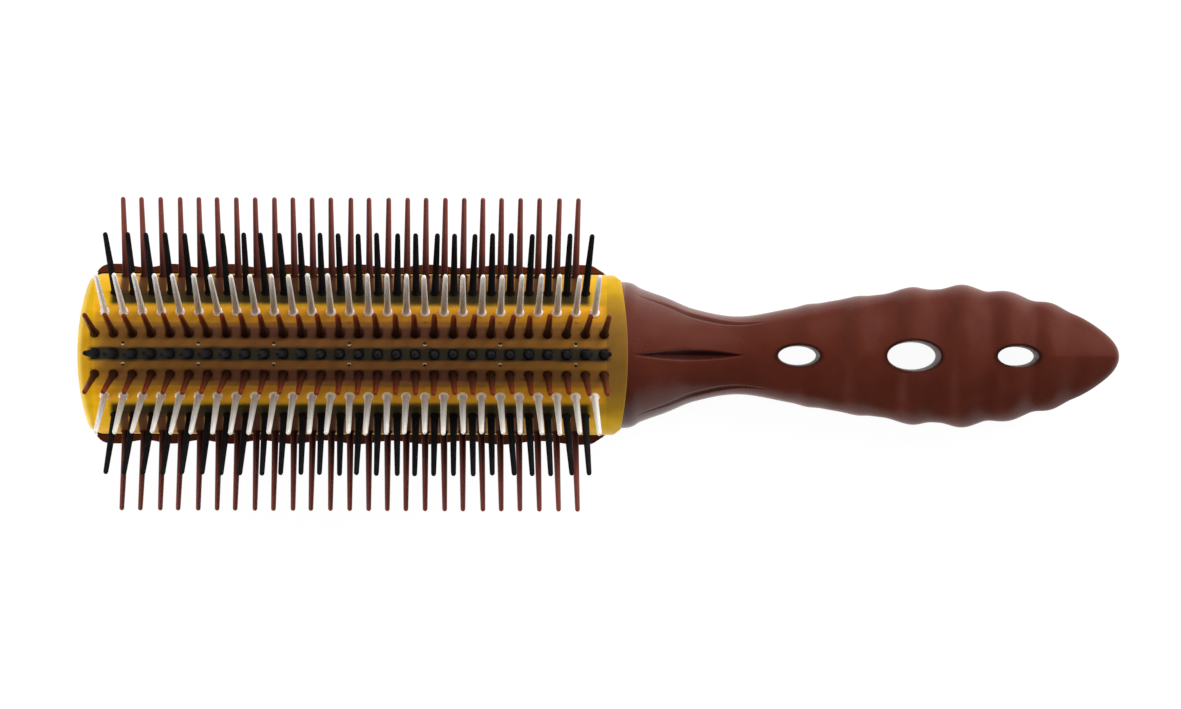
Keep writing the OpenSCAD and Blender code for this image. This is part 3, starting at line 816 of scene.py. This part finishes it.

# %% [markdown]
# ## Holes through the cover
# Every pin passes through a hole of its own, and rows of small air holes lie between the pins.
# Holes in rows repeat, so a node group drills one row of them: a line of points with a drill on
# each, turned to the row's fan angle. The air holes are sunk like screw holes, and beside the
# centre row their walls get a painted glint and painted shade. A thin lip stands round each pin's
# hole.

# %% Build the drill
HOLE_SIDES, BEAD_SIDES = 16, 6
drill, want, give = new_group(
    "drill_row", "Geometry",
    {"Holes": WHOLE, **dict.fromkeys(("First", "Step", "Fan Angle", "Hole Radius", "Lip",
                                      "Flare", "Skin", "Axis Height"), FLOAT)},
    {"Drills": SHAPE, "Sinks": SHAPE, "Lips": SHAPE})
drill_node = adder(drill)
line = drill_node("MeshLine", {
    "Count": want.holes, "Start Location": vector(x=want.first, z=want.skin),
    "Offset": vector(x=want.step)})
bit = drill_node("MeshCylinder", {
    "Vertices": HOLE_SIDES, "Radius": want.hole_radius, "Depth": 6 * MM})
sink = moved(drill_node("MeshCone", {
    "Vertices": HOLE_SIDES, "Radius Bottom": 0.0, "Depth": 1 * MM,
    "Radius Top": want.flare * 2}), (0, 0, -0.5 * MM))
circle = drill_node("CurvePrimitiveCircle", {
    "Resolution": HOLE_SIDES, "Radius": want.hole_radius + want.lip})
bead = drill_node("CurvePrimitiveCircle", {"Resolution": BEAD_SIDES, "Radius": want.lip * 1.5})
ring = drill_node("CurveToMesh", {"Curve": circle, "Profile Curve": bead})
for label, shape in (("Drills", bit), ("Sinks", sink), ("Lips", ring)):
    copies = drill_node("InstanceOnPoints", {"Points": line, "Instance": shape})
    feed(give[label], fanned(copies, want.fan_angle, want))

# %% Drill all the rows
HOLES = {"Pin Play": 0.1 * MM, "Air Hole": 0.24 * MM, "Air Sink": 0.44 * MM, "Lip": 0.05 * MM,
         "Skin": skin_r, "Axis Height": fan_z}
AIR_HOLES, SMALL = 7, 0.55  # the air holes in a row, and the outer ones' share of the size
punch, want, give = new_group("cover_holes", "Geometry",
                              {"Cover": SHAPE, **HOLES, "Material": MATERIAL}, {"Cover": SHAPE})
holes = [(LEVELS[level][1], pin_x(LEVELS[level][2]), pitch, sign * LEVELS[level][0],
          want.pin_play + PINS[level][5] / 2 * MM, None) for _, level, sign in ROWS]
for level, share in enumerate((1, SMALL, SMALL)):
    between_rows = (LEVELS[level][0] + LEVELS[level + 1][0]) / 2
    holes += [(AIR_HOLES, AIR_START, AIR_STEP, sign * between_rows, want.air_hole * share,
               want.air_sink * share) for sign in (1, -1)]
cutters, lips = [], []
for count, first, step, row_angle, radius, flare in holes:
    row = add_all(punch, "GeometryNodeGroup", {
        "Holes": count, "First": first, "Step": step, "Fan Angle": radians(row_angle),
        "Hole Radius": radius, "Lip": want.lip, "Flare": flare or 0.0, "Skin": want.skin,
        "Axis Height": want.axis_height}, node_tree=drill)
    cutters.append(row["Drills"])
    (cutters if flare else lips).append(row["Sinks" if flare else "Lips"])
feed(give["Cover"], made_real(join([*lips, cut_out(want.cover, cutters)]), want.material))

base = cover.data
bpy.data.objects.remove(cover)
cover = grow("cover", punch, {**HOLES, "Material": amber}, base)
finish(cover, 35, "pad", "amber_cover", "pad_cover")

# %% [markdown]
# ## The back of the head
# The back is a shallow shell whose flanks swell into ridges, further apart towards the neck. Its
# shape follows a rule, so Geometry Nodes can make it: every point of a plain cylinder moves to
# the place that the rule gives. Air vents repeat along it, a large one between two ridges and two
# smaller ones on each ridge. They are copied along a line of points and cut out.

# %% The rule for the ridges
SHELL = {
    "Around": 120, "Along": 230, "First Ridge": tip_x + 8 * MM, "Ridge Pitch": 11.4 * MM,
    "Ridge Growth": 0.44 * MM, "Ridge Height": 0.8 * MM, "Half Width": cover_r + 1 * MM,
    "Core": core_r, "End": joint_x, "Bow": 6.5 * MM, "Nose Power": 0.5, "Taper": 4.4 * MM,
    "Step In": 0.8 * MM, "Belly": fan_z + 0.6 * MM, "Belly Ridge": 0.5 * MM, "Squareness": 3.2,
    "Rim": fan_z - 0.6 * MM, "Groove Floor": skirt_z - play, "Groove In": inner_r - 1.1 * MM,
    "Groove Out": skin_r + 0.35 * MM, "Seat": seat_z, "Trough": 12.7 * MM, "Floor": 2 * MM,
    "Axis Height": fan_z, "Vents": 7, "Vent Length": 9 * MM, "Vent Width": 5 * MM}
NOSE = 0.12  # the share of the cylinder's length that makes the rounded nose
NOSE_TURN = radians(83)
ABOVE, TROUGH_TOP = 20 * MM, 12.1 * MM
VENT_SIDES, VENT_POWER = 28, 1.11
shell_tree, want, give = new_group(
    "vented_shell", "Geometry", {**SHELL, "Material": MATERIAL}, {"Shell": SHAPE})
shell_node = adder(shell_tree)


def signed_power(value, exponent):
    """A power that keeps the sign, which squares a circle's corners up."""
    return calc("SIGN", value) * calc("ABSOLUTE", value) ** exponent


def ridge_wave(x):
    """1 on a ridge and 0 midway between two. The ridge number grows with a square root."""
    past = larger(x - want.first_ridge, 0)
    under_root = want.ridge_growth * 4 * past + want.ridge_pitch ** 2
    number = (calc("SQRT", under_root) - want.ridge_pitch) / (want.ridge_growth * 2)
    return calc("COSINE", number * (2 * pi)) * 0.5 + 0.5


def cylinder_points():
    """The angle round a cylinder and the height of each of its points."""
    x, y, z = split(shell_node("InputPosition"))
    return calc("ARCTAN2", y, x), z


# %% Move a cylinder's points to the shell
raw = shell_node("MeshCylinder", {
    "Vertices": want.around, "Side Segments": want.along, "Radius": 1.0, "Depth": 1.0})
turn, height = cylinder_points()
height = height + 0.5
nose_turn = larger(1 - height / NOSE, 0) * NOSE_TURN
past_nose = larger((height - NOSE) / (1 - NOSE), 0)
nose_reach = want.bow * calc("SINE", nose_turn) ** want.nose_power
x = past_nose * (want.end - want.first_ridge) + want.first_ridge - nose_reach
shrink = calc("COSINE", nose_turn) ** want.nose_power
wave = ridge_wave(x)
to_end = want.end - x
taper = (ramp((to_end - want.step_in) / want.taper, 0, 1, 0.5, 1)
         * ramp(to_end / want.step_in, 0, 1))
swell = wave * want.ridge_height + want.half_width - want.core
half_width = (swell * taper + want.core) * shrink
sunk = (want.axis_height - want.groove_floor) * (1 - shrink)
depth = want.belly + want.belly_ridge * (wave - 1) * taper - sunk
exponent = 2 / want.squareness
y = half_width * signed_power(calc("COSINE", turn), exponent)
drop = depth * larger(-calc("SINE", turn), 0) ** exponent
low = calc("MINIMUM", want.rim, larger(0, want.axis_height - drop))
on_top = calc("SINE", turn) > -0.001  # a hair below 0, for its rounding
z = on_top * (want.rim - low) + low
solid = shell_node("SetPosition", {"Geometry": raw, "Position": vector(x, y, z)})


# %% Cutters for the groove, the seat and the trough
def cutter(x_from, x_to, y_from, y_to, z_from, z_to):
    """A box between two corners, for the boolean cut."""
    ends = ((x_from, x_to), (y_from, y_to), (z_from, z_to))
    cube = shell_node("MeshCube", {"Size": vector(*(b - a for a, b in ends))})
    return moved(cube, vector(*((b + a) * 0.5 for a, b in ends)))


start, stop = want.first_ridge - 10 * MM, want.end + 1 * MM
inner = want.groove_in + 1 * MM
trough_start = want.first_ridge - want.bow * 0.5
cutters = [
    cutter(start, stop, want.groove_in, want.groove_out, want.groove_floor, ABOVE),
    cutter(start, stop, -want.groove_out, -want.groove_in, want.groove_floor, ABOVE),
    cutter(start, stop, -inner, inner, want.seat, ABOVE),
    cutter(trough_start, stop, -want.trough, want.trough, want.floor, TROUGH_TOP)]

# %% Cutters for the vents
drum = shell_node("MeshCylinder", {"Vertices": VENT_SIDES, "Radius": 1.0, "Depth": 12 * MM})
turn, height = cylinder_points()
eye = shell_node("SetPosition", {"Geometry": drum, "Position": vector(
    want.vent_length * 0.5 * signed_power(calc("COSINE", turn), VENT_POWER),
    want.vent_width * 0.5 * signed_power(calc("SINE", turn), VENT_POWER), height)})
for first, sign, size, fewer in ((0.5, 0, 1.0, 0), (1, 1, 0.7, 1), (1, -1, 0.7, 1)):
    number = shell_node("InputIndex") + first
    vent_x = number * want.ridge_pitch + want.first_ridge + want.ridge_growth * number ** 2
    points = shell_node("SetPosition", {
        "Geometry": shell_node("MeshLine", {"Count": want.vents - fewer}),
        "Position": vector(vent_x, want.trough * (0.5 * sign))})
    vents = {"Points": points, "Instance": eye, "Scale": (size, size, 1)}
    cutters.append(shell_node("InstanceOnPoints", vents))
feed(give["Shell"], made_real(cut_out(solid, cutters), want.material))
print("vented shell tree:", len(shell_tree.nodes), "nodes")

# %% Grow the shell
shell = grow("back", shell_tree, {**SHELL, "Material": brown_plastic})
finish(shell, 30, "frame", "brown_body", "back_shell")

# %% [markdown]
# ## The handle
# The handle is one moulding: a collar that the cover slides over, a slim neck with three pressed
# creases, a grip with six soft rings, and a pointed tail with a gentle keel. Its width, its top
# and its underside are smooth curves through a few knots, and a loft through many fine sections
# follows them. The creases are part of the loft, because a dent 2 mm wide needs points of its
# own and can't be left to a bump texture.

# %% Curves along the handle, in millimetres from the cover's open end
LENGTH, NECK, GRIP = (tail_x - neck_x) / MM, 24.0, 70.0
COLLAR_START, COLLAR_END = (joint_x - neck_x) / MM, -1.4
TO_NECK_SIDE = [(0.025, 0.047), (0.1, 0.188), (0.33, 0.453), (0.58, 0.777)]
TO_NECK_TOP = [(0.1, 0.12), (0.33, 0.44), (0.58, 0.76)]
TO_GRIP = [(0.26, 0.31), (0.52, 0.65), (0.78, 0.88)]
TO_TAIL = [(0.26, 0.05), (0.5, 0.185), (0.74, 0.373), (0.9, 0.618)]


def knots(collar, neck, grip, to_neck):
    """The handle's size at each knot, squared, because squares give the tail a round nose."""
    listed = [(COLLAR_START, collar), (COLLAR_END, collar)]
    for start, end, shares, size, next_size in (
            (0, NECK, to_neck, collar, neck), (NECK, GRIP, TO_GRIP, neck, grip),
            (GRIP, LENGTH, TO_TAIL, grip, 0)):
        listed += [(start + (end - start) * s, size + (next_size - size) * t) for s, t in shares]
        listed.append((end, next_size))
    return [(at, size ** 2) for at, size in listed]


def through(listed, x):
    """A smooth curve through knots. Each slope comes from a knot's two neighbours."""
    at, value = np.array(listed, float).T
    number = np.arange(len(at))
    before, after = np.maximum(number - 1, 0), np.minimum(number + 1, len(at) - 1)
    slope = (value[after] - value[before]) / (at[after] - at[before])
    i = np.clip(np.searchsorted(at, x, side="right") - 1, 0, len(at) - 2)
    step = at[i + 1] - at[i]
    t = (x - at[i]) / step
    return ((2 * t ** 3 - 3 * t ** 2 + 1) * value[i] + (t ** 3 - 2 * t ** 2 + t) * step * slope[i]
            + (3 * t ** 2 - 2 * t ** 3) * value[i + 1] + (t ** 3 - t ** 2) * step * slope[i + 1])


SIDE = knots(core_r / MM, 8.6, 14.75, TO_NECK_SIDE)
TOP = knots(core_r / MM, 6.9, 7.4, TO_NECK_TOP)
UNDER = knots(fan_z / MM + 0.6, 6.1, 7.7, TO_NECK_SIDE)
MIDDLE = [(COLLAR_START, 10), (COLLAR_END, 10), (12, 8.6), (24, 8), (70, 7.7), (LENGTH, 7.4)]

# %% Rings round the grip, in millimetres
# For each ring: its place, its height at the sides and below, its height on top, and how far its
# two flanks reach at the sides.
RINGS = [(39.0, 0.27, 0.8, 3.4, 3.2), (50.1, 0.27, 1.5, 4.2, 3.0), (62.0, 0.95, 1.8, 6.4, 4.8),
         (73.4, 1.1, 1.8, 5.5, 6.0), (83.8, 0.95, 1.8, 6.0, 6.4), (92.9, 0.8, 1.6, 5.2, 4.8)]
TOP_REACH = (4.2, 6.4)  # how far the flanks reach on top, where the left ones are steeper


def size_of(listed, u, on_top=False):
    """The size that a curve gives, with the rings added."""
    size = np.sqrt(np.maximum(through(listed, u), 0))
    for at, tall, top, *reach in RINGS:
        before, after = TOP_REACH if on_top else reach
        near = np.clip(np.abs(u - at) / np.where(u < at, before, after), 0, 1)
        size = size + (top if on_top else tall) * (0.5 + 0.5 * np.cos(pi * near))
    return size


def half_section(u, upper):
    """How far the top or the underside stands from the section's middle line, and the power of
    its curve: 2 is round, less has a keel, and more is squarer."""
    if upper:
        return (size_of(TOP, u, on_top=True),
                1.95 - 0.27 * ease((u - 28) / 28) - 0.28 * ease((u - 84) / 12))
    return size_of(UNDER, u), 3.2 - 1.1 * ease((u - COLLAR_END) / NECK)


print(f"handle {LENGTH:.1f} mm long, {2 * size_of(SIDE, np.array([GRIP]))[0]:.1f} mm wide")

# %% The surface of the handle
CREASES_START = 1
# For each crease: its end, its share of the half width at both ends, its radius and its depth.
CREASES = [(NECK + 1, 0, 0, 1.25, 1.3), (NECK + 6, 0.87, 0.79, 0.55, 0.33),
           (NECK + 6, -0.87, -0.79, 0.55, 0.33)]


def creases(u, side_share, half_width):
    """How deep the creases are pressed in, in millimetres. Each has a slight lip beside it."""
    depth = np.zeros_like(u)
    for u_to, share_from, share_to, radius, deep in CREASES:
        t = np.clip((u - CREASES_START) / (u_to - CREASES_START), 0, 1)
        swell = np.sin(pi * t)
        off = ((side_share - share_from - (share_to - share_from) * ease(t)) * half_width
               / (radius * (0.14 + 0.86 * swell)))
        bed = np.maximum(1 - np.abs(off) ** 1.25, 0) * deep * swell ** 0.7
        lip = 0.06 * deep * np.exp(-((np.abs(off) - 1.35) / 0.3) ** 2) * swell
        depth += np.where((u > CREASES_START) & (u < u_to), bed - lip, 0)
    return depth


def handle_surface(u, a):
    """Points on the skin, for places along the handle and angles round it, and how deep the
    creases press each of them in."""
    half_width = size_of(SIDE, u)
    c, s = np.cos(a), np.sin(a)
    upper = s >= 0
    tall, power = (np.where(upper, *both) for both in zip(
        half_section(u, True), half_section(u, False)))
    y = half_width * np.sign(c) * np.abs(c) ** (2 / power)
    z = through(MIDDLE, u) + tall * np.sign(s) * np.abs(s) ** (2 / power)
    pressed = np.where(upper, creases(u, y / np.maximum(half_width, 0.01), half_width), 0)
    y = y - pressed * c
    z = np.maximum(z - pressed * np.abs(s), 0)
    return np.stack([neck_x / MM + u, y, z], axis=-1) * MM, pressed


def close_angles():
    """Angles round a section, close together where the creases run."""
    angles, a = [], -90.0
    while a < 90:
        near_side = a > 0 and 0.7 < abs(cos(radians(a))) < 0.95
        angles.append(a)
        a += 0.75 if near_side or a > 79 else 3.0
    right = np.array(angles + [90.0])
    return np.radians(np.concatenate([right, 180 - right[-2:0:-1]]))


NOSE_LENGTH = 10  # the sections lie closer and closer together along the tail's nose
u_steps = np.concatenate([np.arange(COLLAR_START, LENGTH - NOSE_LENGTH, 0.6),
                          LENGTH - NOSE_LENGTH * np.linspace(1, 0.03, 26) ** 2])
skin, pressed = handle_surface(*np.meshgrid(u_steps, close_angles(), indexing="ij"))
handle = loft("ringed_handle", skin, brown_plastic)
handle.data.attributes.new("pressed", "FLOAT", "POINT").data.foreach_set("value", pressed.ravel())
print("handle skin:", len(handle.data.polygons), "faces")

# %% [markdown]
# ## The three eye holes
# Each hole narrows towards the back and has a soft rim that follows the curved skin. The cutter
# is a loft too: its rings flare out in a quarter circle towards the skin, at the height that the
# skin has at each point, so that the rim is equally soft all round.

# %% Cut the eye holes
EYE_RIM, BACK_RIM, EYE_TAPER = 0.7, 0.5, 0.91  # the rims in mm, and the size at the back


def skin_height(u, y, upper):
    """The height of the handle's top or underside at a place."""
    share = np.clip(np.abs(y) / size_of(SIDE, u), 0, 1)
    tall, power = half_section(u, upper)
    tall = tall * (1 - share ** power) ** (1 / power)
    return np.maximum(through(MIDDLE, u) + (tall if upper else -tall), 0)


def eye_cutter(at, length, width):
    rings = []
    turn = np.linspace(0, 2 * pi, 72, endpoint=False)
    for upper, soft, size in ((True, EYE_RIM, 1.0), (False, BACK_RIM, EYE_TAPER)):
        flares = [(soft * (1 - cos(t)), soft * (1 - sin(t)))
                  for t in np.radians([0, 15, 30, 45, 60, 72, 80])]
        flares.append((soft * 1.3, -3))
        side = []
        for out, below in flares:
            u = at + (length * size + 2 * out) / 2 * np.cos(turn)
            y = (width * size + 2 * out) / 2 * np.sin(turn)
            z = skin_height(u, y, upper) + (-below if upper else below)
            side.append(np.column_stack([neck_x / MM + u, y, z]))
        rings += side[::-1] if upper else side
    return loft("cutter", np.array(rings) * MM, brown_plastic)


for eye in EYES:
    handle = combine(handle, eye_cutter(*eye), "DIFFERENCE")

# %% Join the tenon on
tenon = bar("cutter", arch(12.6 * MM, 2.1 * MM), (joint_x - 10 * MM, joint_x + 1 * MM),
            brown_plastic)
handle = combine(handle, tenon, "UNION")
finish(handle, 32, "frame", "brown_body", "handle")

# %% [markdown]
# ## The carrier
# The half-round core under the rows is nearly hidden. The CAD model's solid has its channels and
# ducts already, so it only gets the brown plastic.

# %% Dress the carrier
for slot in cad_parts["pin_carrier"].material_slots:
    slot.material = brown_plastic
